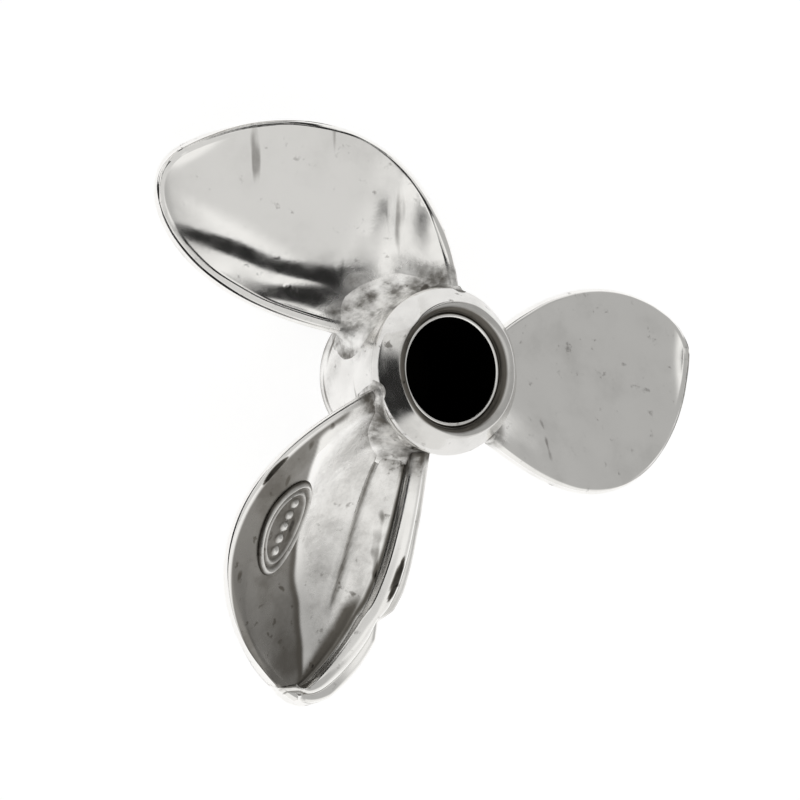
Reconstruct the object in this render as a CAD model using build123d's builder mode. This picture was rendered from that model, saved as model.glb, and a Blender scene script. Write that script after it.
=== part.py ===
"""Three-blade ship's propeller at jewellery size, as the pieces a silversmith would solder together.

The origin is the centre of the bore at its mouth. The bore runs along Z and opens upwards, and +X points
along the blade that is called the side blade. All sizes are in millimetres and degrees.
"""

from build123d import *
from math import cos, exp, pi, radians, sin, sqrt
import os

os.makedirs("parts", exist_ok=True)

# Hub: a plain barrel with a fat rounded lip, which rises round the mouth. It stands off-centre to its bore.
hub_radius = 2.96
hub_length = 5.1
hub_offset = 0.2
lip_radius = 3.13
lip_drop = 0.69
lip_curve = 0.5
lip_middle = lip_radius - lip_curve
lip_neck = lip_drop + sqrt(lip_curve**2 - (hub_radius - lip_middle) ** 2)
crown_radius = 2.45
crown_height = 0.3
seat_radius = 2.2
rear_edge = 0.18
hub_axis = Vector(hub_offset, 0, 0)

# Bore: a blind hole lined with a thin tube, closed at the rear by a disc.
bore_radius = 1.95
bore_depth = 4.3
sleeve_wall = 0.16
sleeve_rim_radius = 0.07
sleeve_proud = 0.1
cap_chamfer = 0.12
sleeve_radius = bore_radius + sleeve_wall

# Blades: each one is a cupped leaf. Every size across the blade is a short polynomial in s, which runs from
# 0 at the root, inside the barrel, to 1 at the tip.
root_radius = 2.67
root_height = -1.75
tip_fullness = 1.5
leading_half_width = (2.42, 6.85, 0.03)
trailing_half_width = (1.94, 8.33, -4.61)
leading_slope = (22.2, -25.9, 13.5)
trailing_slope = (27.5, -23.1, 26.9)
sweep = (-0.2, 1.14, 1.65)
rake = (0.0, -3.18, -0.26)
blade_thickness = 0.62
tip_thickness = 0.46
cup_shift = 1.7
cup_closing = 2.0
cup_fade = 0.65
cup_rise = 3.0
station_count = 12
first_station = -0.14
last_station = 0.993
camber_points = 7

# Each blade is set by hand, so its bearing, tip radius, rake turn, pitch turn and cup depth differ a little.
# The last number is the breadth of the lip that is left along the lower blade's trailing edge.
blade_settings = {
    "upper": (120.5, 12.14, -8.0, -0.5, 1.75, 0.0),
    "side": (-6.3, 13.2, 8.0, -3.6, 1.1, 0.0),
    "lower": (236.7, 12.44, 0.4, 2.8, 1.75, 0.95),
}
edge_lip_rise = 15

# Solder fillets: a collar round each root that is thickest at the barrel and dies out along the blade.
fillet_start = 1.5
fillet_end = 4.0
fillet_height = 0.7
fillet_steps = 5
fillet_edge = 0.05

# Oval mark plate, soldered inside the cup of the lower blade, near its leading edge.
marked_blade = "lower"
plate_length = 4.0
plate_width = 2.2
plate_turn = 12
plate_rise = 0.26
plate_edge = 0.08
plate_station = 0.52
plate_chord = 0.27
plate_step = 0.02


def polynomial(terms, s):
    """The value at s of terms[0] + terms[1] s + terms[2] s^2."""
    return terms[0] + terms[1] * s + terms[2] * s**2


def closing_at(s):
    """How much of its full width the blade has at s, from 1 at the root to 0 at the tip."""
    return sqrt(1 - max(s, 0) ** tip_fullness)


def thickness_at(s):
    """The blade's thickness at s."""
    return tip_thickness + (blade_thickness - tip_thickness) * closing_at(s)


def camber_point(s, u, cup):
    """Middle of the blade's thickness, as (across, height), where u is 0 on its leading edge and 1 behind."""
    closing = closing_at(s)
    lead = polynomial(leading_half_width, s) * closing
    trail = polynomial(trailing_half_width, s) * closing
    lead_angle = radians(polynomial(leading_slope, s))
    trail_angle = radians(polynomial(trailing_slope, s))
    middle = Vector(polynomial(sweep, s), polynomial(rake, s))
    start = middle + Vector(-lead * cos(lead_angle), lead * sin(lead_angle))
    end = middle + Vector(trail * cos(trail_angle), -trail * sin(trail_angle))
    chord = end - start
    down = Vector(chord.Y, -chord.X).normalized()
    fullest = cup_shift / (cup_shift + 1)
    depth = cup * closing**cup_closing * (1 - cup_fade * exp(-cup_rise * s))
    dip = u**cup_shift * (1 - u) / (fullest**cup_shift * (1 - fullest))
    return start + chord * u + down * depth * dip


def normals(points):
    """Unit vectors square to the camber line, pointing to the mouth side, one for each point."""
    found = []
    for i in range(len(points)):
        before = points[max(i - 1, 0)]
        after = points[min(i + 1, len(points) - 1)]
        run = after - before
        found.append(Vector(-run.Y, run.X).normalized())
    return found


def section_face(s, thickness, cup, edge_lip):
    """Section of the blade at s, with rounded edges, drawn flat as (across, height)."""
    half = thickness / 2
    edge_round = thickness_at(s) / 2
    chord = camber_point(s, 1, cup) - camber_point(s, 0, cup)
    inset = edge_round / chord.length
    last = 1 if edge_lip else 1 - inset
    places = [inset + (last - inset) * i / (camber_points - 1) for i in range(camber_points)]
    points = [camber_point(s, u, cup) for u in places]
    if edge_lip:
        lip_way = chord.normalized().rotate(Axis.Z, edge_lip_rise)
        points.append(points[-1] + lip_way * (edge_lip - edge_round))
    square = normals(points)
    face = [p + n * half for p, n in zip(points, square)]
    back = [p - n * half for p, n in zip(points, square)]
    lead_out = Vector(-square[0].Y, square[0].X)
    trail_out = Vector(square[-1].Y, -square[-1].X)
    with BuildSketch(Plane.XY) as section:
        with BuildLine():
            Spline(*face)
            ThreePointArc(face[-1], points[-1] + trail_out * half, back[-1])
            Spline(*reversed(back))
            ThreePointArc(back[0], points[0] + lead_out * half, face[0])
        make_face()
    return section.sketch


def blade_frame(bearing, rake_turn, pitch_turn):
    """Plane at the root whose Z runs out along the blade and whose Y is up, the way the mouth faces."""
    outward = Vector(1, 0, 0).rotate(Axis.Y, -rake_turn)
    across = Vector(0, 1, 0).rotate(Axis((0, 0, 0), outward), -pitch_turn)
    outward = outward.rotate(Axis.Z, bearing)
    across = across.rotate(Axis.Z, bearing)
    start = hub_axis + Vector(root_radius, 0, root_height).rotate(Axis.Z, bearing)
    return Plane(origin=start, x_dir=across, z_dir=outward)


def blade_point(frame, length, s, u, cup):
    """The same point of the blade in space."""
    point = camber_point(s, u, cup)
    return frame.from_local_coords(Vector(point.X, point.Y, length * s))


def root_collar_growth(station):
    """How far a solder fillet stands off the blade at this distance along the blade's own line."""
    run = min(max((station - fillet_start) / (fillet_end - fillet_start), 0.0), 1.0)
    return fillet_edge + fillet_height * (1 - sqrt(1 - (1 - run) ** 2))


# Hub envelope: the outer form of the hub without its bore, which the blades and fillets are cut back to
hub_plane = Plane(origin=hub_axis, x_dir=(1, 0, 0), z_dir=(0, -1, 0))
with BuildPart() as hub_envelope:
    with BuildSketch(hub_plane):
        with BuildLine():
            Line((0, 0), (0, -hub_length))
            Line((0, -hub_length), (hub_radius - rear_edge, -hub_length))
            Line((hub_radius - rear_edge, -hub_length), (hub_radius, rear_edge - hub_length))
            Line((hub_radius, rear_edge - hub_length), (hub_radius, -lip_neck))
            RadiusArc((hub_radius, -lip_neck), (lip_radius, -lip_drop), -lip_curve)
            EllipticalCenterArc((crown_radius, -lip_drop), lip_radius - crown_radius, lip_drop + crown_height)
            EllipticalCenterArc((crown_radius, 0), crown_radius - seat_radius, crown_height, 90)
            Line((seat_radius, 0), (0, 0))
        make_face()
    revolve(axis=Axis(hub_axis, (0, 0, 1)))

# Barrel, bored right through for the sleeve and the cap
with BuildPart() as hub_barrel:
    add(hub_envelope.part)
    with BuildSketch(Plane.XY.offset(-hub_length)):
        Circle(sleeve_radius)
    extrude(amount=hub_length + crown_height, mode=Mode.SUBTRACT)
hub_barrel.part.label = "hub_barrel"
export_step(hub_barrel.part, "parts/hub_barrel.step")

# Sleeve, whose rounded end stands a little proud of the lip
with BuildPart() as bore_sleeve:
    with BuildSketch(Plane.XY.offset(-bore_depth)):
        Circle(sleeve_radius)
        Circle(bore_radius, mode=Mode.SUBTRACT)
    extrude(amount=bore_depth + sleeve_proud)
    mouth_edges = bore_sleeve.edges().filter_by(GeomType.CIRCLE).group_by(Axis.Z)[-1]
    fillet(mouth_edges, sleeve_rim_radius)
bore_sleeve.part.label = "bore_sleeve"
export_step(bore_sleeve.part, "parts/bore_sleeve.step")

# Cap that closes the bore behind the sleeve
with BuildPart() as rear_cap:
    with BuildSketch(Plane.XY.offset(-hub_length)):
        Circle(sleeve_radius)
    extrude(amount=hub_length - bore_depth)
    chamfer(rear_cap.edges().group_by(Axis.Z)[0], cap_chamfer)
rear_cap.part.label = "rear_cap"
export_step(rear_cap.part, "parts/rear_cap.step")

for name, (bearing, tip_radius, rake_turn, pitch_turn, cup, edge_lip) in blade_settings.items():
    frame = blade_frame(bearing, rake_turn, pitch_turn)
    length = tip_radius - root_radius

    # Blade, from inside the barrel out to its tip, cut back to the barrel
    with BuildPart() as blade:
        for i in range(station_count):
            s = first_station + (last_station - first_station) * sin(pi / 2 * i / (station_count - 1))
            with BuildSketch(frame.offset(length * s)):
                add(section_face(s, thickness_at(s), cup, edge_lip))
        loft()
        add(hub_envelope.part, mode=Mode.SUBTRACT)
    blade.part.label = f"blade_{name}"
    export_step(blade.part, f"parts/blade_{name}.step")

    # Solder fillet round the root, cut back to the barrel and the blade
    with BuildPart() as root_fillet:
        for i in range(fillet_steps + 1):
            station = fillet_start + (fillet_end - fillet_start) * i / fillet_steps
            s = (station - root_radius) / length
            growth = root_collar_growth(station)
            with BuildSketch(frame.offset(length * s)):
                add(section_face(s, thickness_at(s) + 2 * growth, cup, edge_lip))
        loft()
        add(hub_envelope.part, mode=Mode.SUBTRACT)
        add(blade.part, mode=Mode.SUBTRACT)
    collar = root_fillet.solids().sort_by(SortBy.VOLUME)[-1]
    collar.label = f"fillet_{name}"
    export_step(collar, f"parts/fillet_{name}.step")

    # Oval mark plate, which follows the lie of the blade's face
    if name == marked_blade:
        middle = blade_point(frame, length, plate_station, plate_chord, cup)
        ahead = blade_point(frame, length, plate_station + plate_step, plate_chord, cup)
        beside = blade_point(frame, length, plate_station, plate_chord + plate_step, cup)
        upward = (ahead - middle).cross(beside - middle).normalized()
        face_height = thickness_at(plate_station) / 2
        plate_plane = Plane(origin=middle, x_dir=ahead - middle, z_dir=upward)
        with BuildPart() as mark_plate:
            with BuildSketch(plate_plane):
                Ellipse(plate_length / 2, plate_width / 2, rotation=plate_turn)
            extrude(amount=face_height + plate_rise)
            fillet(mark_plate.edges().sort_by(Axis((0, 0, 0), upward))[-1], plate_edge)
            add(blade.part, mode=Mode.SUBTRACT)
        mark_plate.part.label = "mark_plate"
        export_step(mark_plate.part, "parts/mark_plate.step")
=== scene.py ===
import math

import bmesh
import bpy
import numpy as np
from mathutils import Matrix, Vector


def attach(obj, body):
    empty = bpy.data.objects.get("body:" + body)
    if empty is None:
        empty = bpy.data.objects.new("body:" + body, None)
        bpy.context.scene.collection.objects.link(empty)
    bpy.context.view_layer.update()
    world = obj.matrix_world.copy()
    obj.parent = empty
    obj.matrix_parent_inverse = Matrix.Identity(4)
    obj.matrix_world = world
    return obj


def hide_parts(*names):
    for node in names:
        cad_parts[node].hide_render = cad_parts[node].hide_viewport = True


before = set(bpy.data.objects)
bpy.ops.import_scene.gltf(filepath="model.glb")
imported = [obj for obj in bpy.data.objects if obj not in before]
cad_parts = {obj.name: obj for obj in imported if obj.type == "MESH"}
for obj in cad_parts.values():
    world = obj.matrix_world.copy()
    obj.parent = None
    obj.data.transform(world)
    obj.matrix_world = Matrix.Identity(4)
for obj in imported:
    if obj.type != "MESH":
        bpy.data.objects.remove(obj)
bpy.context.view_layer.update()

# Three-blade silver propeller, about 25 mm across. Shapes are worked out in millimetres, as in the CAD model,
# and are written to meshes in metres. The origin is the centre of the bore at its mouth.
MM = 0.001

# ---------------------------------------------------------------- driving sizes, mm and degrees
# The hub is a barrel with a fat lip round its mouth, and its axis is a little off-centre to its bore.
HUB_RADIUS = 2.96
HUB_LENGTH = 5.1
HUB_AXIS = np.array([0.2, 0.0, 0.0])
REAR_EDGE = 0.18
# The lip is widest at LIP_DROP below the mouth and meets the barrel at LIP_NECK. The blades' roots are fitted
# to a simpler lip, a quarter ellipse that starts at CROWN_RADIUS from the axis.
LIP_RADIUS = 3.13
LIP_DROP = 0.69
LIP_NECK = 1.066
LIP_SLOPE = 52
SHOULDER_CURVE = 0.5
CROWN_RADIUS = 2.45
CROWN_HEIGHT = 0.3
CROWN_INNER = 2.38
CROWN_CURVE = 0.22
# Hand-filed flats on the lip, as (bearing, lean up, distance from the hub's axis)
FLATS = ((137, 30, 2.3),)

BORE_RADIUS = 1.95
BORE_DEPTH = 4.3
SLEEVE_RADIUS = 2.11
SLEEVE_PROUD = 0.1
SLEEVE_GAP = 0.005
CAP_EDGE = 0.12
# The cap is a ring round a pinhole of this radius.
PINHOLE = 0.002

# The blades share one form. On it s is 0 at the root and 1 at the tip, and u is 0 at the leading edge and 1
# at the trailing edge. Each row of three is the a, b and c of a + b s + c s^2.
ROOT_RADIUS = 2.67
ROOT_HEIGHT = -1.75
ROOT_SINK = 0.2
TIP_FULLNESS = 1.5
LEADING_HALF_WIDTH = (2.42, 6.85, 0.03)
TRAILING_HALF_WIDTH = (1.94, 8.33, -4.61)
LEADING_SLOPE = (22.2, -25.9, 13.5)
TRAILING_SLOPE = (27.5, -23.1, 26.9)
SWEEP = (-0.2, 1.14, 1.65)
RAKE = (0.0, -3.18, -0.26)
BLADE_THICKNESS = 0.62
# The cup is deepest nearer the trailing edge, by CUP_SHIFT. CUP_FADE and CUP_RISE make it shallow at the
# root, and CUP_CLOSING makes it flat at the tip.
CUP_SHIFT = 1.7
CUP_CLOSING = 2.0
CUP_FADE = 0.65
CUP_RISE = 3.0
LAST_STATION = 0.9999
# The surface turns sharply at the very tip, so its directions there are taken from just inside it.
LAST_DIRECTION = 0.985

# Each blade then has its own settings. Its tip is measured from the hub's axis, and its fillet's three sizes
# are at the leading edge, on the two faces, and at the trailing edge.
BLADES = {
    "upper": {
        "bearing": 120.5, "tip": 12.14, "rake": -8.0, "pitch": -0.5, "cup": 1.75,
        "fillet": (0.15, 1.25, 0.9),
    },
    "side": {
        "bearing": -6.3, "tip": 13.2, "rake": 8.0, "pitch": -3.6, "cup": 1.1,
        "fillet": (0.3, 0.7, 0.5),
    },
    "lower": {
        "bearing": 236.7, "tip": 12.44, "rake": 0.4, "pitch": 2.8, "cup": 1.75,
        "fillet": (0.15, 0.75, 0.5),
    },
}

# The upper blade's leading edge is rolled up, over this share of its width.
ROLLED_BLADE = "upper"
ROLL_HEIGHT = 0.25
ROLL_SHARE = 0.2

# The lower blade has a lip along its trailing edge, and EDGE_LIP_REACH is how broad it is at each station.
# Across that blade u is 1 at the fold and 1 + EDGE_LIP_SHARE at the lip's own edge.
LIPPED_BLADE = "lower"
EDGE_LIP_STATIONS = (-0.2, 0.2, 0.4, 0.48, 0.545, 0.61, 0.75, 0.9, 1.0)
EDGE_LIP_REACH = (0.95, 0.9, 1.0, 0.9, 0.5, 0.85, 1.0, 1.1, 0.95)
EDGE_LIP_SHARE = 0.1
EDGE_LIP_RISE = math.radians(15)
# Its leading edge is thinner, by THIN_EDGE of the thickness over THIN_EDGE_SHARE of the width.
THIN_EDGE = 0.36
THIN_EDGE_SHARE = 0.16
# A raised bead runs along the fold with a groove beside it. Their widths are shares of the lip's breadth.
BEAD_HEIGHT = 0.26
BEAD_HALF_WIDTH = 0.42
BEAD_SHIFT = 0.12
GROOVE_DEPTH = 0.07
GROOVE_PLACE = -0.65
GROOVE_WIDTH = 0.2
# A crease runs down the trough, from CREASE_START across the blade and on by CREASE_DRIFT from root to tip.
CREASE_START = 0.7
CREASE_DRIFT = 0.2
CREASE_END = 0.66
CREASE_DEPTH = 0.1
CREASE_WIDTH = 0.022

PLATE_BLADE = "lower"
PLATE_LENGTH = 4.0
PLATE_WIDTH = 2.2
PLATE_TURN = math.radians(12)
PLATE_STATION = 0.52
PLATE_CHORD = 0.27
PLATE_RAISE = 0.08
PLATE_SINK = 0.15
PELLETS = 5
PELLET_RADIUS = 0.2
PELLET_PITCH = 0.25
PELLET_HEIGHT = 0.12

# Tarnish and painted shade run from 0, bright, to 1, dark grey. Over about 1.1 the silver turns black, which
# paints the shade deep in the bore and dark reflections on the lower blade's rims.
BORE_SHADE_BLACK = 1.6
REFLECTION_BLACK = 1.3


# ---------------------------------------------------------------- small tools
def ease(value):
    """0 below 0, 1 above 1, and smooth between."""
    value = np.clip(value, 0, 1)
    return value * value * (3 - 2 * value)


def ripple(points, wavelength, seed):
    """Smooth unevenness between about -1 and 1 at each point: a sum of sines in seeded directions."""
    draw = np.random.default_rng(seed)
    total = np.zeros(points.shape[:-1])
    waves = 7
    for _ in range(waves):
        direction = draw.normal(size=3)
        direction /= np.linalg.norm(direction)
        stretch = draw.uniform(0.7, 1.5)
        phase = draw.uniform(0, 2 * math.pi)
        total += np.sin(points @ direction * (2 * math.pi * stretch / wavelength) + phase)
    return total / math.sqrt(waves)


def mesh_object(name, vertices, faces):
    mesh = bpy.data.meshes.new(name)
    mesh.from_pydata([tuple(v) for v in np.asarray(vertices) * MM], [], faces)
    mesh.update()
    piece = bpy.data.objects.new(name, mesh)
    bpy.context.scene.collection.objects.link(piece)
    return piece


def close_mesh(piece, distance=0.0004):
    """Merge doubled points, drop flat slivers, turn every face outwards and shade smooth."""
    bm = bmesh.new()
    bm.from_mesh(piece.data)
    bmesh.ops.remove_doubles(bm, verts=bm.verts, dist=distance * MM)
    bmesh.ops.dissolve_degenerate(bm, dist=distance * MM / 2, edges=bm.edges)
    bmesh.ops.recalc_face_normals(bm, faces=bm.faces)
    bm.to_mesh(piece.data)
    bm.free()
    piece.data.polygons.foreach_set("use_smooth", [True] * len(piece.data.polygons))


def grid_faces(rows, columns, wrap_rows=False, wrap_columns=False, start=0):
    """Quads of a grid of points, which may close on itself in either direction."""
    faces = []
    for i in range(rows if wrap_rows else rows - 1):
        for j in range(columns if wrap_columns else columns - 1):
            below = (i + 1) % rows
            beside = (j + 1) % columns
            quad = (i * columns + j, i * columns + beside, below * columns + beside, below * columns + j)
            faces.append(tuple(start + v for v in quad))
    return faces


def mark(piece, tarnish, cast):
    """Store the two values that the silver reads at each point: how dark it is with tarnish and painted
    shade, and how rough-cast it is.
    """
    count = len(piece.data.vertices)
    for name, values in (("tarnish", tarnish), ("cast", cast)):
        layer = piece.data.attributes.new(name, "FLOAT", "POINT")
        values = np.maximum(np.broadcast_to(np.asarray(values, dtype=np.float32), count), 0)
        layer.data.foreach_set("value", np.ascontiguousarray(values))


def hump(value, middle, width):
    """1 at the middle, dying away either side."""
    return np.exp(-(((value - middle) / width) ** 2))


# ---------------------------------------------------------------- blade form
def polynomial(terms, s):
    """Value at s of a row of three terms."""
    return terms[0] + terms[1] * s + terms[2] * s**2


def camber(s, u, cup, lipped):
    """Middle of the blade's thickness at s along it and u across it, as (across, height)."""
    beyond = np.maximum(u - 1, 0) / EDGE_LIP_SHARE
    u = np.minimum(u, 1)
    closing = np.sqrt(np.clip(1 - np.maximum(s, 0) ** TIP_FULLNESS, 0, None))
    lead = polynomial(LEADING_HALF_WIDTH, s) * closing
    trail = polynomial(TRAILING_HALF_WIDTH, s) * closing
    lead_angle = np.radians(polynomial(LEADING_SLOPE, s))
    trail_angle = np.radians(polynomial(TRAILING_SLOPE, s))
    middle_across = polynomial(SWEEP, s)
    middle_up = polynomial(RAKE, s)
    x0 = middle_across - lead * np.cos(lead_angle)
    y0 = middle_up + lead * np.sin(lead_angle)
    x1 = middle_across + trail * np.cos(trail_angle)
    y1 = middle_up - trail * np.sin(trail_angle)
    chord_x, chord_y = x1 - x0, y1 - y0
    length = np.maximum(np.hypot(chord_x, chord_y), 1e-9)
    down_x, down_y = chord_y / length, -chord_x / length
    fullest = CUP_SHIFT / (CUP_SHIFT + 1)
    depth = cup * closing**CUP_CLOSING * (1 - CUP_FADE * np.exp(-CUP_RISE * s))
    dip = u**CUP_SHIFT * (1 - u) / (fullest**CUP_SHIFT * (1 - fullest))
    x = x0 + chord_x * u + down_x * depth * dip
    y = y0 + chord_y * u + down_y * depth * dip
    if lipped:
        reach = np.interp(s, EDGE_LIP_STATIONS, EDGE_LIP_REACH) * beyond
        flat, rise = math.cos(EDGE_LIP_RISE), math.sin(EDGE_LIP_RISE)
        x = x + reach * (chord_x / length * flat - down_x * rise)
        y = y + reach * (chord_y / length * flat - down_y * rise)
    return x, y


def blade_axes(bearing, rake_turn, pitch_turn):
    """Root point and the outward, across and up directions of a blade."""
    outward = Vector((1, 0, 0))
    outward.rotate(Matrix.Rotation(math.radians(-rake_turn), 3, "Y"))
    across = Vector((0, 1, 0))
    across.rotate(Matrix.Rotation(math.radians(-pitch_turn), 3, outward))
    turn = Matrix.Rotation(math.radians(bearing), 3, "Z")
    outward, across = turn @ outward, turn @ across
    up = outward.cross(across)
    start = Vector(HUB_AXIS) + turn @ Vector((ROOT_RADIUS, 0, ROOT_HEIGHT))
    return np.array(start), np.array(outward), np.array(across), np.array(up)


class Blade:
    """The middle surface of one blade and the directions on it."""

    def __init__(self, name):
        setting = BLADES[name]
        self.name = name
        self.cup = setting["cup"]
        self.fillet = setting["fillet"]
        self.lipped = name == LIPPED_BLADE
        self.last = 1 + EDGE_LIP_SHARE if self.lipped else 1.0
        self.length = setting["tip"] - ROOT_RADIUS
        axes = blade_axes(setting["bearing"], setting["rake"], setting["pitch"])
        self.start, self.outward, self.across, self.up = axes

    def middle(self, s, u):
        x, y = camber(s, u, self.cup, self.lipped)
        along = (s * self.length)[..., None] * self.outward
        return self.start + along + x[..., None] * self.across + y[..., None] * self.up

    def frame(self, s, u, step=1e-3):
        """Point, unit normal to the mouth side, and unit direction from leading to trailing edge."""
        here = self.middle(s, u)
        s = np.minimum(s, LAST_DIRECTION)
        along = self.middle(s + step, u) - self.middle(s - step, u)
        over = self.middle(s, np.minimum(u + step, self.last)) - self.middle(s, np.maximum(u - step, 0))
        normal = np.cross(along, over)
        normal /= np.maximum(np.linalg.norm(normal, axis=-1, keepdims=True), 1e-12)
        over /= np.maximum(np.linalg.norm(over, axis=-1, keepdims=True), 1e-12)
        return here, normal, over


def hub_distance(points):
    """How far out from the hub's outer surface each point lies, straight out from its axis."""
    radius = np.hypot(points[..., 0] - HUB_AXIS[0], points[..., 1] - HUB_AXIS[1])
    height = points[..., 2]
    rise = np.clip((height + LIP_DROP) / (LIP_DROP + CROWN_HEIGHT), 0, 0.98)
    lip = CROWN_RADIUS + (LIP_RADIUS - CROWN_RADIUS) * np.sqrt(1 - rise**2)
    fall = np.clip((-LIP_DROP - height) / SHOULDER_CURVE, 0, 1)
    under = np.maximum(LIP_RADIUS - SHOULDER_CURVE * (1 - np.sqrt(1 - fall**2)), HUB_RADIUS)
    return radius - np.where(height > -LIP_DROP, lip, under)


def solve_station(distance_at, target, low=-0.3, high=0.75, steps=34):
    """Station s at which distance_at(s), which grows with s, comes to target. Works on whole arrays."""
    low = np.full(np.shape(target), low)
    high = np.full(np.shape(target), high)
    for _ in range(steps):
        middle = (low + high) / 2
        short = distance_at(middle) < target
        low = np.where(short, middle, low)
        high = np.where(short, high, middle)
    return (low + high) / 2


def edge_distance(points):
    """Distance of each grid point from the outline: both long edges and the tip."""
    outline = np.concatenate([points[:, 0], points[-1], points[::-1, -1]])
    flat = points.reshape(-1, 3)
    best = np.full(len(flat), 1e9)
    for p in outline:
        best = np.minimum(best, np.sum((flat - p) ** 2, axis=1))
    return np.sqrt(best).reshape(points.shape[:2])


def bead_place(s, u):
    """How far across the lip a point lies from the middle of its bead, as a share of the lip's breadth."""
    return (u - 1) / EDGE_LIP_SHARE - BEAD_SHIFT + BEAD_SHIFT * ease((s - 0.5) / 0.1)


def crease_place(s, u):
    """How far across the blade a point lies from the crease."""
    return u - (CREASE_START + CREASE_DRIFT * s)


def crease_run(s):
    """1 along the crease, and 0 beyond its end."""
    return ease((CREASE_END - s) / 0.1)


def face_relief(blade, s, u):
    """Height of the mouth side over the plain blade: a rolled edge, or the lower blade's bead and crease."""
    if blade.name == ROLLED_BLADE:
        rolled = ROLL_HEIGHT * np.clip(1 - u / ROLL_SHARE, 0, 1) ** 2
        return rolled * ease((s - 0.05) / 0.2) * (1 - ease((s - 0.65) / 0.2))
    if not blade.lipped:
        return np.zeros(s.shape)
    from_bead = bead_place(s, u)
    bead = BEAD_HEIGHT * np.sqrt(np.clip(1 - (from_bead / BEAD_HALF_WIDTH) ** 2, 0, 1))
    groove = GROOVE_DEPTH * hump(from_bead, GROOVE_PLACE, GROOVE_WIDTH)
    crease = CREASE_DEPTH * hump(crease_place(s, u), 0, CREASE_WIDTH) * crease_run(s)
    return bead - groove - crease


def trough(s, u):
    """1 on the rough floor of the lower blade's trough, 0 on its walls and lip."""
    return ease((u - 1.2 * s + 0.15) / 0.08) * (1 - ease((bead_place(s, u) + 0.9) / 0.3))


def cast_near_hub(points, reach):
    """How rough-cast the surface is: fully so at the hub, and polished away from it."""
    wander = 0.2 * ripple(points, 1.2, 51)
    return 1 - ease((hub_distance(points) / reach - 0.3 + wander) / 1.1)


def root_tarnish(points, reach):
    """Grime that the casting skin round a root holds, the same on the blade and on its fillet."""
    cloud = 0.5 + 0.5 * ripple(points, 1.1, 5) + 0.25 * ripple(points, 0.4, 6)
    return cast_near_hub(points, reach) * (0.12 + 0.22 * cloud)


def reflection_oval(u, middle_u, half_u, s, middle_s, half_s):
    """A painted reflection: a black spot with a crisp edge on a rim."""
    away = np.hypot((u - middle_u) / half_u, (s - middle_s) / half_s)
    return REFLECTION_BLACK * (1 - ease((away - 0.85) / 0.25))


def blade_tarnish_and_shade(blade, s, u, points):
    """Tarnish and painted reflections on the mouth side: a film, a painted reflection on the upper blade's
    rim, and most on the lower blade.
    """
    patchy = ripple(points, 2.2, 31)
    film = 0.04 + 0.02 * patchy
    if blade.name == ROLLED_BLADE:
        # A small dark mark on the upper blade's trailing rim is a painted reflection.
        return film + 0.3 * hump(s, 0.37, 0.025) * hump(u, 0.95, 0.03)
    if not blade.lipped:
        return film + 0.05
    return np.maximum(film, lower_blade_tarnish_and_shade(s, u, patchy))


def lower_blade_tarnish_and_shade(s, u, patchy):
    """Grime in the lower blade's trough, painted shade in its crease, and painted reflections on its wall,
    beside its bead and as black ovals on its two rims.
    """
    # The wall inside the leading edge is painted dark as a reflection, most of all along wall_edge, where the
    # trough's floor begins.
    wall_edge = np.maximum(1.2 * s - 0.19, 0.04 + 0.15 * s) + 0.012 * patchy
    on_wall = 1 - ease((u - wall_edge + 0.02) / 0.05)
    wall_reflection = 0.74 * on_wall * ease((u - 0.015) / 0.02) * ease((s - 0.03) / 0.1)
    wall_reflection = wall_reflection + 0.2 * hump(u, wall_edge - 0.03, 0.03) * ease((s - 0.3) / 0.2)

    # Painted shade darkens the crease, painted reflections make dark lines along both sides of the bead, and
    # the lip's outer side is painted grey as a reflection.
    from_bead = bead_place(s, u)
    crease = 0.7 * hump(crease_place(s, u), 0, 0.018) * crease_run(s)
    inner_line = 0.95 * hump(from_bead, -0.58, 0.12)
    inner_band = 0.95 * hump(from_bead, -0.9, 0.35 + 0.25 * s) * ease((s - 0.46) / 0.14)
    outer_line = 0.8 * hump(from_bead, 0.4, 0.05)
    outer_side = 0.26 * ease((from_bead - 0.4) / 0.1) * (1 - ease((s - 0.5) / 0.06))
    lines = (crease, inner_line, inner_band, outer_line, outer_side)

    # The two black ovals on the rims are painted reflections.
    trailing_oval = reflection_oval(from_bead, 0.1, 0.17, s, 0.38, 0.085)
    leading_oval = reflection_oval(u, 0.02, 0.012, s, 0.41, 0.065)

    root = 0.25 * (1 - ease((s - 0.02) / 0.15))
    floor = (0.16 + 0.07 * patchy) * ease((from_bead + 9) / 3) * (1 - ease((from_bead + 1) / 0.5))
    low_floor = (0.3 + 0.1 * patchy) * hump(s, 0.68, 0.12) * hump(u, 0.75, 0.14)
    return np.max([wall_reflection, root, floor, low_floor, *lines, trailing_oval, leading_oval], axis=0)


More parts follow.
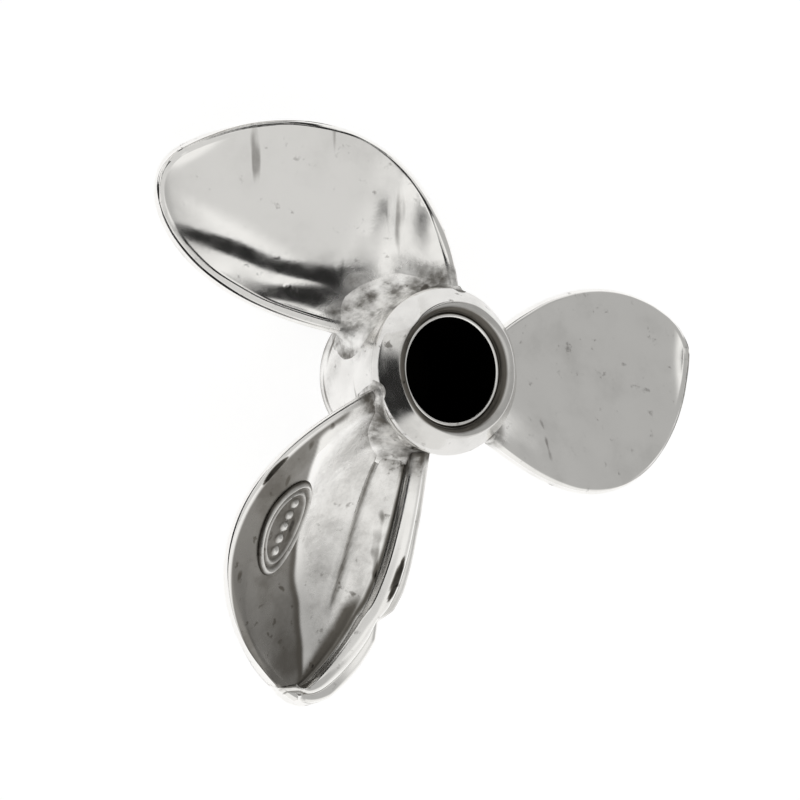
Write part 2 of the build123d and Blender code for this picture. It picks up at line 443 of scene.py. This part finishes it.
def make_blade(blade, rows=140, columns=140):
    """Cupped leaf with rounded edges, from inside the hub's wall to its tip."""
    u = blade.last * (1 - np.cos(np.linspace(0, math.pi, columns))) / 2
    first = solve_station(lambda s: hub_distance(blade.middle(s, u)), np.full(columns, -ROOT_SINK))
    x = np.linspace(0, 1, rows)[:, None]
    station = first + (LAST_STATION - first) * np.sin(x * math.pi / 2)
    place = np.broadcast_to(u, station.shape)
    points, normals, _ = blade.frame(station, place)
    distance = edge_distance(points)

    full = np.full(station.shape, BLADE_THICKNESS)
    if blade.lipped:
        full = full * (1 - THIN_EDGE * (1 - ease(place / THIN_EDGE_SHARE)))
    run = np.clip(distance / (full / 2), 0, 1)
    half = full / 2 * np.sqrt(np.clip(1 - (1 - run) ** 2, 0, 1))

    seed = sum(map(ord, blade.name))
    wave = 0.009 * ripple(points, 4.2, seed) + 0.0012 * ripple(points, 1.6, seed + 1)
    points = points + normals * (wave * ease(distance / 0.6))[..., None]
    edge_wear = 1 + 0.04 * ripple(points, 2.6, seed + 2) * (1 - ease(distance / 0.8))
    relief = face_relief(blade, station, place) * ease(distance / 0.3)
    face = points + normals * (half * edge_wear + relief)[..., None]
    back = points - normals * (half * edge_wear)[..., None]

    count = rows * columns
    faces = [quad[::-1] for quad in grid_faces(rows, columns)]
    faces += grid_faces(rows, columns, start=count)
    faces += [(j + 1, j, j + count, j + 1 + count) for j in range(columns - 1)]
    both = np.concatenate([face.reshape(-1, 3), back.reshape(-1, 3)])
    piece = mesh_object(f"blade_{blade.name}_skin", both, faces)
    front = blade_tarnish_and_shade(blade, station, place, points).ravel()
    rear = 0.08 + 0.04 * ripple(back.reshape(-1, 3), 2.0, seed + 3)
    casting = cast_near_hub(both, blade.fillet[1])
    if blade.lipped:
        casting[:count] = np.maximum(casting[:count], 0.4 * trough(station, place).ravel())
    mark(piece, np.concatenate([front, rear]) + root_tarnish(both, blade.fillet[1]), casting)
    close_mesh(piece)
    return piece


# ---------------------------------------------------------------- fillets
def section_outline(face_steps=56, arc_steps=13):
    """Way round a blade's section: for each column, u from 0 to 1 and the lean of its outward direction."""
    over = np.linspace(0, 1, face_steps)
    turn = np.linspace(0, math.pi, arc_steps + 2)[1:-1]
    places = np.concatenate([over, np.ones(arc_steps), over[::-1], np.zeros(arc_steps)])
    straight = np.full(face_steps, math.pi / 2)
    lean = np.concatenate([straight, math.pi / 2 - turn, -straight, -math.pi / 2 - turn])
    return places, lean


def make_fillet(blade, inset=0.05, sink=0.2):
    """Ring of solder round a blade's root: a hollow curve from the hub's surface to the blade's.

    It starts and ends a little inside both, at the depth sink, and stays inset from the blade's two edges.
    """
    places, lean = section_outline()
    lead, face, trail = blade.fillet
    radius = np.interp(places, (0, 0.35, 0.75, 1), (lead, face, face, trail))
    half = BLADE_THICKNESS / 2

    def surface(s, growth):
        u = inset + (1 - 2 * inset) * np.broadcast_to(places, s.shape)
        here, normal, over = blade.frame(s, u)
        outward = normal * np.sin(lean)[:, None] + over * np.cos(lean)[:, None]
        return here + outward * (half + growth)[..., None]

    turns = np.radians(np.linspace(0, 90, 20))
    sunk = radius * 0 - sink
    growths = [radius] + [radius * (1 - math.sin(a)) - 0.02 * a for a in turns] + [sunk, sunk]
    runs = [sunk] + [radius * (1 - math.cos(a)) for a in turns] + [radius, sunk]
    rings = []
    for growth, run in zip(growths, runs):
        s = solve_station(lambda s: hub_distance(surface(s, growth)), run)
        rings.append(surface(s, growth))
    rings = np.array(rings)
    away = rings - rings.mean(axis=1, keepdims=True)
    away /= np.maximum(np.linalg.norm(away, axis=-1, keepdims=True), 1e-9)
    fade = np.sin(np.linspace(0, math.pi, len(rings))) ** 2
    grain = (0.02 * ripple(rings, 1.1, 11) + 0.008 * ripple(rings, 0.45, 12)) * fade[:, None]
    rings = rings + away * grain[..., None]
    faces = grid_faces(len(rings), len(places), wrap_rows=True, wrap_columns=True)
    flat = rings.reshape(-1, 3)
    piece = mesh_object(f"fillet_{blade.name}_skin", flat, faces)
    mark(piece, root_tarnish(flat, face) + 0.05, cast_near_hub(flat, face))
    close_mesh(piece, 0.0001)
    return piece


# ---------------------------------------------------------------- hub, sleeve and cap
def turned(name, profile, centre_of, wear_and_shade, segments=200, flats=()):
    """Ring swept round Z from a closed profile of (radius, height, unevenness) rows.

    centre_of gives the X of the centre that each row's circle stands on, because the hub is off-centre to its
    bore. The fourth argument gives the tarnish, the painted shade and the casting skin at each point. Each
    flat is (bearing, lean, distance), a plane that the lip is filed back to.
    """
    angle = np.linspace(0, 2 * math.pi, segments, endpoint=False)
    ring = np.stack([np.cos(angle), np.sin(angle), np.zeros(segments)], axis=-1)
    rings = []
    for radius, height, rough in profile:
        here = ring * radius + np.array([centre_of(radius), 0, height])
        lump = 0.03 * ripple(here, 4.4, 21) + 0.006 * ripple(here, 1.5, 22)
        here = here + ring * (rough * lump)[:, None]
        here[:, 2] += rough * 0.03 * ripple(here, 2.8, 23)
        if rough > 0 and height > -LIP_NECK:
            for flat in flats:
                here = file_flat(here, *flat, min(1.0, rough / 0.5))
        rings.append(here)
    rings = np.array(rings)
    faces = grid_faces(len(rings), segments, wrap_rows=True, wrap_columns=True)
    points = rings.reshape(-1, 3)
    piece = mesh_object(name, points, faces)
    mark(piece, *wear_and_shade(points))
    close_mesh(piece, 0.0001)
    return piece


def file_flat(points, bearing, lean, distance, share):
    """Push the points that stand past a plane back towards it, all the way where share is 1."""
    bearing, lean = math.radians(bearing), math.radians(lean)
    away = np.array([math.cos(bearing) * math.cos(lean), math.sin(bearing) * math.cos(lean), math.sin(lean)])
    over = np.maximum((points - HUB_AXIS) @ away - distance, 0)
    return points - over[:, None] * away * share


def make_barrel(steps=8):
    """Hub barrel with its fat rounded lip, which slopes back down to the sleeve."""
    seat = SLEEVE_RADIUS + SLEEVE_GAP
    inner_drop = -0.04
    worn, plain = 0.8, 0.6
    profile = [(seat, -HUB_LENGTH, 0.0), (seat, inner_drop - 0.1, 0.0)]
    for k in range(steps + 1):
        turn = math.pi / 2 * k / steps
        radius = seat + (CROWN_INNER - seat) * (1 - math.cos(turn))
        height = inner_drop + (CROWN_HEIGHT - inner_drop) * math.sin(turn)
        profile.append((radius, height, 0.15 + 0.65 * k / steps))
    # The lip's outer side is a worn bevel: a tight curve over the crown, a slope, and a curve to the barrel.
    slope = math.radians(LIP_SLOPE)
    x, z = CROWN_INNER, CROWN_HEIGHT
    for k in range(1, steps + 1):
        turn = slope * k / steps
        profile.append((x + CROWN_CURVE * math.sin(turn), z - CROWN_CURVE * (1 - math.cos(turn)), worn))
    x += CROWN_CURVE * math.sin(slope)
    z -= CROWN_CURVE * (1 - math.cos(slope))
    run = LIP_RADIUS - x - SHOULDER_CURVE * (1 - math.sin(slope))
    for k in range(1, steps + 1):
        profile.append((x + run * k / steps, z - run * math.tan(slope) * k / steps, worn))
    x, z = x + run, z - run * math.tan(slope)
    for k in range(1, steps + 1):
        turn = slope + (math.pi / 2 - slope) * k / steps
        out = SHOULDER_CURVE * (math.sin(turn) - math.sin(slope))
        down = SHOULDER_CURVE * (math.cos(slope) - math.cos(turn))
        profile.append((x + out, z - down, 0.8 - 0.2 * k / steps))
    z -= SHOULDER_CURVE * math.cos(slope)
    under = math.acos(1 - (LIP_RADIUS - HUB_RADIUS) / SHOULDER_CURVE)
    for k in range(1, steps + 1):
        turn = under * k / steps
        out = LIP_RADIUS - SHOULDER_CURVE * (1 - math.cos(turn))
        profile.append((out, z - SHOULDER_CURVE * math.sin(turn), plain))
    # The barrel's side runs straight down to a rounded rear edge.
    for k in range(1, 25):
        profile.append((HUB_RADIUS, -LIP_NECK + (REAR_EDGE + LIP_NECK - HUB_LENGTH) * k / 24, plain))
    for k in range(1, 7):
        turn = math.pi / 2 * k / 6
        radius = HUB_RADIUS - REAR_EDGE * (1 - math.cos(turn))
        profile.append((radius, REAR_EDGE - HUB_LENGTH - REAR_EDGE * math.sin(turn), plain * (1 - k / 6)))

    def centre(radius):
        return HUB_AXIS[0] * float(ease((radius - seat) / (CROWN_INNER - seat)))

    def wear_and_shade(points):
        height = points[:, 2]
        from_bore = np.hypot(points[:, 0], points[:, 1])
        # The groove between the lip and the sleeve is painted dark as shade, and so is the rear edge. The lip
        # is a little darker than the barrel's side.
        groove = 0.85 * ease((2.4 - from_bore) / 0.14)
        side = ease((-LIP_NECK - height) / 0.4)
        rear = ease((0.3 - HUB_LENGTH - height) / 0.2)
        patches = side * (0.03 + 0.08 * ripple(points, 1.5, 41))
        tarnish = 0.3 * (1 - side) + 0.1 * side + groove + patches + 0.5 * rear
        return tarnish, 0.4 * side * (0.5 + 0.5 * ripple(points, 1.8, 42))

    return turned("hub_barrel_skin", profile, centre, wear_and_shade, flats=FLATS)


def on_bore(radius):
    """X of the centre of a circle that stands on the bore's own axis, whatever its radius."""
    return 0.0


def make_sleeve(steps=12):
    """Thin tube whose rounded end stands a little proud of the lip."""
    middle = (SLEEVE_RADIUS + BORE_RADIUS) / 2
    half = (SLEEVE_RADIUS - BORE_RADIUS) / 2
    end = SLEEVE_PROUD - half
    profile = [(SLEEVE_RADIUS, -BORE_DEPTH, 0.0)]
    for k in range(steps + 1):
        turn = math.pi * k / steps
        profile.append((middle + half * math.cos(turn), end + half * math.sin(turn), 0.12))
    for k in range(1, steps + 1):
        profile.append((BORE_RADIUS, end - (BORE_DEPTH + end) * k / steps, 0.0))

    def wear_and_shade(points):
        # Inside the bore the silver is painted black, as painted shade.
        inside = np.hypot(points[:, 0], points[:, 1]) < BORE_RADIUS + 0.012
        return 0.05 + BORE_SHADE_BLACK * inside, 0.3 * inside

    return turned("bore_sleeve_skin", profile, on_bore, wear_and_shade)


def make_cap():
    """Disc that closes the bore, with an eased rear edge and a shallow turned dish in its rear face."""
    top = -BORE_DEPTH
    bottom = -HUB_LENGTH
    profile = [(PINHOLE, top, 0), (1.0, top, 0), (1.7, top, 0), (SLEEVE_RADIUS - 0.01, top, 0)]
    profile.append((SLEEVE_RADIUS, top - 0.02, 0))
    for k in range(7):
        turn = math.pi / 2 * k / 6
        radius = SLEEVE_RADIUS - CAP_EDGE * (1 - math.cos(turn))
        profile.append((radius, bottom + CAP_EDGE * (1 - math.sin(turn)), 0))
    profile += [(1.5, bottom + 0.03, 0.2), (0.9, bottom + 0.05, 0.2), (0.3, bottom + 0.06, 0.1)]
    profile.append((PINHOLE, bottom + 0.06, 0))

    def wear_and_shade(points):
        # The cap's face inside the bore is painted black, as painted shade.
        inside = points[:, 2] > top - 0.01
        return 0.08 + BORE_SHADE_BLACK * inside, 0.3 * inside

    return turned("rear_cap_skin", profile, on_bore, wear_and_shade, segments=96)


# ---------------------------------------------------------------- mark plate
def plate_height(p, q):
    """Height of the plate's top over the blade: two raised oval rims round a row of pellets."""
    radial = np.hypot(p, q)
    height = PLATE_RAISE + 0.1 * hump(radial, 0.91, 0.055) + 0.07 * hump(radial, 0.73, 0.045)
    for k in range(PELLETS):
        place = (k - (PELLETS - 1) / 2) * PELLET_PITCH
        apart = np.hypot((p - place) * PLATE_LENGTH / 2, q * PLATE_WIDTH / 2)
        height = height + PELLET_HEIGHT * np.sqrt(np.clip(1 - (apart / PELLET_RADIUS) ** 2, 0, 1))
    return height * np.clip((1 - radial) / 0.03, 0, 1) ** 0.5


def make_plate(blade, rings=44, segments=120):
    """Oval plate that lies on the face of the blade and follows its curve."""
    s0 = np.array([PLATE_STATION])
    u0 = np.array([PLATE_CHORD])
    step = 1e-3
    here, normal, over = blade.frame(s0, u0)
    along_rate = (blade.middle(s0 + step, u0) - blade.middle(s0 - step, u0))[0] / (2 * step)
    over_rate = (blade.middle(s0, u0 + step) - blade.middle(s0, u0 - step))[0] / (2 * step)
    long_way = along_rate / np.linalg.norm(along_rate)
    wide_way = np.cross(normal[0], long_way)
    long_way, wide_way = (
        long_way * math.cos(PLATE_TURN) + wide_way * math.sin(PLATE_TURN),
        wide_way * math.cos(PLATE_TURN) - long_way * math.sin(PLATE_TURN),
    )
    rates = np.stack([along_rate, over_rate], axis=1)
    radial = np.sin(np.linspace(0, 1, rings) * math.pi / 2)[:, None]
    angle = np.linspace(0, 2 * math.pi, segments, endpoint=False)
    p = radial * np.cos(angle)
    q = radial * np.sin(angle)
    offset = p[..., None] * long_way * PLATE_LENGTH / 2 + q[..., None] * wide_way * PLATE_WIDTH / 2
    change = offset @ np.linalg.pinv(rates).T
    s = PLATE_STATION + change[..., 0]
    u = np.clip(PLATE_CHORD + change[..., 1], 0.02, 0.98)
    point, out, _ = blade.frame(s, u)
    height = plate_height(p, q)
    top = point + out * (BLADE_THICKNESS / 2 + height)[..., None]
    sunk = point + out * (BLADE_THICKNESS / 2 - PLATE_SINK)
    vertices = np.concatenate([top.reshape(-1, 3), sunk.reshape(-1, 3)])
    count = rings * segments
    faces = [quad[::-1] for quad in grid_faces(rings, segments, wrap_columns=True)]
    faces += grid_faces(rings, segments, wrap_columns=True, start=count)
    last = (rings - 1) * segments
    for j in range(segments):
        beside = (j + 1) % segments
        faces.append((last + j, last + beside, last + beside + count, last + j + count))
    piece = mesh_object("mark_plate_skin", vertices, faces)
    # Grime lies on the plate's ground, and the rims and pellets are rubbed bright.
    recess = 0.75 - 6.5 * (height.ravel() - PLATE_RAISE)
    mark(piece, np.concatenate([recess, recess * 0 + 0.6]), 0.35)
    close_mesh(piece)
    return piece


# ---------------------------------------------------------------- shader tools
def feed(tree, socket, value):
    """Set a socket to a number or a colour, or link it to another node's output."""
    if isinstance(value, bpy.types.NodeSocket):
        tree.links.new(value, socket)
    else:
        socket.default_value = value


def calculate(tree, operation, a, b):
    """One step of arithmetic on two values, each a number or another node's output."""
    node = tree.nodes.new("ShaderNodeMath")
    node.operation = operation
    feed(tree, node.inputs[0], a)
    feed(tree, node.inputs[1], b)
    return node.outputs["Value"]


def ramp(tree, source, low, high, start=0.0, end=1.0):
    """Smooth step that goes from start at low to end at high."""
    node = tree.nodes.new("ShaderNodeMapRange")
    node.interpolation_type = "SMOOTHSTEP"
    node.inputs["From Min"].default_value = low
    node.inputs["From Max"].default_value = high
    node.inputs["To Min"].default_value = start
    node.inputs["To Max"].default_value = end
    feed(tree, node.inputs["Value"], source)
    return node.outputs["Result"]


def blend(tree, kind, factor, a, b):
    """Mix of two numbers, where kind is FLOAT, or of two colours, where it is RGBA."""
    node = tree.nodes.new("ShaderNodeMix")
    node.data_type = kind
    feed(tree, node.inputs["Factor"], factor)
    feed(tree, node.inputs["A"], a)
    feed(tree, node.inputs["B"], b)
    return node.outputs["Result"]


# ---------------------------------------------------------------- silver
# Dark grey for tarnish and painted shade, and black for the painted shade deep in the bore and painted
# reflections.
GRIME_AND_SHADE_COLOUR = (0.13, 0.12, 0.105, 1)
SHADE_AND_REFLECTION_BLACK = (0.004, 0.0035, 0.003, 1)
# Texture scales, in cells per metre
CLOUD_SCALE = 420
SMEAR_SCALE = 700
SCRATCH_SCALE = 900
PIT_SCALE = 900
GRIME_SCALE = 1100
SPECK_SCALE = 1900
SKIN_SCALE = 2600
BUMP_DEPTH = 0.000012


def silver(name, colour=(0.93, 0.92, 0.9), roughness=0.1, grain=0.25, scratches=0.3, pits=0.3):
    """Worn silver. Tarnish with painted shade and painted reflections, and the casting skin, are the piece's
    own values; scratches and pits are bump.
    """
    material = bpy.data.materials.new(name)
    material.use_nodes = True
    tree = material.node_tree
    shader = tree.nodes["Principled BSDF"]
    shader.inputs["Metallic"].default_value = 1
    place = tree.nodes.new("ShaderNodeTexCoord")

    def texture(kind, scale, stretch=(1, 1, 1), turn=(0, 0, 0), **settings):
        mapping = tree.nodes.new("ShaderNodeMapping")
        mapping.inputs["Scale"].default_value = stretch
        mapping.inputs["Rotation"].default_value = turn
        feed(tree, mapping.inputs["Vector"], place.outputs["Object"])
        node = tree.nodes.new(kind)
        node.inputs["Scale"].default_value = scale
        feed(tree, node.inputs["Vector"], mapping.outputs["Vector"])
        for key, value in settings.items():
            node.inputs[key].default_value = value
        return node

    def noise(scale, detail, rough, **placing):
        return texture("ShaderNodeTexNoise", scale, Detail=detail, Roughness=rough, **placing).outputs["Fac"]

    def stored(attribute):
        node = tree.nodes.new("ShaderNodeAttribute")
        node.attribute_name = attribute
        return node.outputs["Fac"]

    # How dark each point is: the piece's own tarnish and painted shade, clouds, specks, nicks, and grime in
    # the casting skin
    tarnish = stored("tarnish")
    skin = stored("cast")
    scratch = noise(SCRATCH_SCALE, 2, 0.6, stretch=(1, 0.12, 1), turn=(0.3, 0.2, 0.6))
    clouds = ramp(tree, noise(CLOUD_SCALE, 5, 0.6), 0.42, 0.75, 0.0, 0.16)
    specks = ramp(tree, noise(SPECK_SCALE, 3, 0.6), 0.62, 0.76, 0.0, 0.35)
    nicks = ramp(tree, scratch, 0.66, 0.72, 0.0, 0.45)
    grime = ramp(tree, noise(GRIME_SCALE, 5, 0.7), 0.35, 0.7, 0.02, 0.5)
    dark = calculate(tree, "ADD", tarnish, clouds)
    dark = calculate(tree, "ADD", dark, calculate(tree, "MAXIMUM", specks, nicks))
    dark = calculate(tree, "ADD", dark, calculate(tree, "MULTIPLY", grime, skin))
    tone = blend(tree, "RGBA", ramp(tree, dark, 0.0, 1.0), (*colour, 1), GRIME_AND_SHADE_COLOUR)
    # Past about 1.1 the colour turns black, for painted shade and painted reflections.
    tone = blend(tree, "RGBA", ramp(tree, dark, 1.1, 1.5), tone, SHADE_AND_REFLECTION_BLACK)
    feed(tree, shader.inputs["Base Color"], tone)

    # Roughness: smeared by handling, and greater where the silver is cast or dark
    rough = ramp(tree, noise(SMEAR_SCALE, 4, 0.55), 0.35, 0.7, roughness * 0.6, roughness * 1.6)
    rough = calculate(tree, "ADD", rough, calculate(tree, "MULTIPLY", skin, 0.2))
    rough = calculate(tree, "ADD", rough, calculate(tree, "MULTIPLY", dark, 0.22))
    feed(tree, shader.inputs["Roughness"], rough)

    # Relief: a fine grain, deeper in the casting skin, with scratches and round pits
    holes = texture("ShaderNodeTexVoronoi", PIT_SCALE, Randomness=1.0).outputs["Distance"]
    depth = calculate(tree, "ADD", calculate(tree, "MULTIPLY", skin, 3.0), grain)
    height = calculate(tree, "MULTIPLY", noise(SKIN_SCALE, 4, 0.65), depth)
    scores = calculate(tree, "MULTIPLY", ramp(tree, scratch, 0.6, 0.72), -scratches)
    height = calculate(tree, "ADD", height, scores)
    rims = calculate(tree, "MULTIPLY", ramp(tree, holes, 0.05, 0.16), pits)
    height = calculate(tree, "ADD", height, rims)
    bump = tree.nodes.new("ShaderNodeBump")
    bump.inputs["Strength"].default_value = 0.5
    bump.inputs["Distance"].default_value = BUMP_DEPTH
    feed(tree, bump.inputs["Height"], height)
    feed(tree, shader.inputs["Normal"], bump.outputs["Normal"])
    return material


polished = silver("polished_silver")
lining = silver("bore_silver", roughness=0.09, grain=0.1, scratches=0.1, pits=0.0)
stamped = silver("mark_silver", colour=(0.8, 0.79, 0.77), roughness=0.16, grain=0.5, scratches=0.1, pits=0.2)

# Every visible piece, in the order made
skins = []


def dress(piece, node, material):
    """Give a piece its material, tie it to the root body, and hide the frame's node that it replaces."""
    skins.append(piece)
    piece.data.materials.clear()
    piece.data.materials.append(material)
    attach(piece, "root")
    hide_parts(node)


# ---------------------------------------------------------------- pieces
for name in BLADES:
    blade = Blade(name)
    dress(make_blade(blade), f"blade_{name}", polished)
    dress(make_fillet(blade), f"fillet_{name}", polished)
    if name == PLATE_BLADE:
        dress(make_plate(blade), "mark_plate", stamped)

dress(make_barrel(), "hub_barrel", polished)
dress(make_sleeve(), "bore_sleeve", lining)
dress(make_cap(), "rear_cap", polished)

# ---------------------------------------------------------------- camera
# The camera looks down on the mouth, off the hub's axis by TILT and turned by ROLL. AIM is the place that it
# looks at, right and up from the mouth's centre as the picture shows it. Distances are in mm.
TILT = math.radians(31.5)
ROLL = math.radians(5.6)
AIM = (1.874, 1.107)
VIEW_DISTANCE = 88.89
SENSOR = 36
LENS = 108
CLIP_NEAR = 1
CLIP_FAR = 10000

axis_seen = Vector((math.sin(TILT) * math.cos(ROLL), math.sin(TILT) * math.sin(ROLL), math.cos(TILT)))
lean_seen = Vector((math.cos(TILT) * math.cos(ROLL), math.cos(TILT) * math.sin(ROLL), -math.sin(TILT)))
level_seen = Vector((-math.sin(ROLL), math.cos(ROLL), 0))
# The rows are the model's axes as the camera sees them, so the columns are the camera's axes in the model.
from_camera = Matrix((
    lean_seen * math.cos(ROLL) - level_seen * math.sin(ROLL),
    lean_seen * math.sin(ROLL) + level_seen * math.cos(ROLL),
    axis_seen,
))
picture_right, picture_up, picture_near = (column.copy() for column in from_camera.transposed())
camera_data = bpy.data.cameras.new("camera")
camera = bpy.data.objects.new("camera", camera_data)
bpy.context.scene.collection.objects.link(camera)
viewpoint = from_camera @ Vector((-AIM[0], -AIM[1], VIEW_DISTANCE))
camera.matrix_world = Matrix.Translation(viewpoint * MM) @ from_camera.to_4x4()
camera_data.sensor_width = SENSOR
camera_data.lens = LENS
camera_data.clip_start = CLIP_NEAR * MM
camera_data.clip_end = CLIP_FAR * MM
bpy.context.scene.camera = camera
bpy.context.scene.view_settings.view_transform = "Standard"

# ---------------------------------------------------------------- floor
# The part lies on lit white paper, which touches its lowest point. Lengths are in metres.
FLOOR_REACH = 0.6
PAPER_GREY = 0.35
PAPER_ROUGHNESS = 0.8
PAPER_GLOW = 0.8

lowest = min(min(corner[2] for corner in piece.bound_box) for piece in skins)
floor_mesh = bpy.data.meshes.new("floor")
corners = [(-1, -1), (1, -1), (1, 1), (-1, 1)]
floor_mesh.from_pydata([(x * FLOOR_REACH, y * FLOOR_REACH, lowest) for x, y in corners], [], [(0, 1, 2, 3)])
floor = bpy.data.objects.new("floor", floor_mesh)
bpy.context.scene.collection.objects.link(floor)
paper = bpy.data.materials.new("lit_paper")
paper.use_nodes = True
paper_shader = paper.node_tree.nodes["Principled BSDF"]
paper_shader.inputs["Base Color"].default_value = (PAPER_GREY, PAPER_GREY, PAPER_GREY, 1)
paper_shader.inputs["Roughness"].default_value = PAPER_ROUGHNESS
paper_shader.inputs["Emission Color"].default_value = (1, 1, 1, 1)
paper_shader.inputs["Emission Strength"].default_value = PAPER_GLOW
floor_mesh.materials.append(paper)

# ---------------------------------------------------------------- light tent
# The tent is white with grey and black panels. A panel is an ellipse on the sky, placed by its angle from the
# camera's place and by its direction round it, counter-clockwise from the picture's right.
TENT_TINT = (1.0, 0.995, 0.98, 1)
TENT_BRIGHTNESS = 0.92
PANELS = [
    # off the view, direction round, half width out, half width round, turn, softness, brightness
    (8, 0, 34, 34, 0, 0.35, 0.68),
    (82, 12, 42, 44, 0, 0.3, 0.46),
    (49, 73, 6, 46, 47, 0.25, 0.02),
    (62, 88, 10, 43, 58, 0.25, 0.02),
    (49, 198, 18, 46, 0, 0.2, 0.02),
]


def panel_mask(tree, sky, off, round_way, width_out, width_round, turn, softness):
    """1 inside a panel and 0 outside it."""
    off, round_way, turn = math.radians(off), math.radians(round_way), math.radians(turn)
    radial = picture_right * math.cos(round_way) + picture_up * math.sin(round_way)
    middle = picture_near * math.cos(off) + radial * math.sin(off)
    out = radial * math.cos(off) - picture_near * math.sin(off)
    sideways = middle.cross(out)
    long_way = out * math.cos(turn) + sideways * math.sin(turn)
    wide_way = sideways * math.cos(turn) - out * math.sin(turn)

    def dot(direction):
        node = tree.nodes.new("ShaderNodeVectorMath")
        node.operation = "DOT_PRODUCT"
        node.inputs[1].default_value = direction
        feed(tree, node.inputs[0], sky)
        return node.outputs["Value"]

    x = calculate(tree, "DIVIDE", dot(long_way), math.sin(math.radians(width_out)))
    y = calculate(tree, "DIVIDE", dot(wide_way), math.sin(math.radians(width_round)))
    spread = calculate(tree, "ADD", calculate(tree, "POWER", x, 2), calculate(tree, "POWER", y, 2))
    # The same ellipse would show on the opposite side of the sky too, so it is pushed out of reach there.
    behind = calculate(tree, "MULTIPLY", calculate(tree, "LESS_THAN", dot(middle), 0.0), 10.0)
    return ramp(tree, calculate(tree, "ADD", spread, behind), 1 - softness, 1 + softness, 1.0, 0.0)


def build_tent():
    world = bpy.data.worlds.new("tent")
    bpy.context.scene.world = world
    world.use_nodes = True
    tree = world.node_tree
    sky = tree.nodes.new("ShaderNodeTexCoord").outputs["Generated"]
    level = TENT_BRIGHTNESS
    for *placing, brightness in PANELS:
        level = blend(tree, "FLOAT", panel_mask(tree, sky, *placing), level, brightness)
    background = tree.nodes["Background"]
    feed(tree, background.inputs["Strength"], level)
    background.inputs["Color"].default_value = TENT_TINT


build_tent()
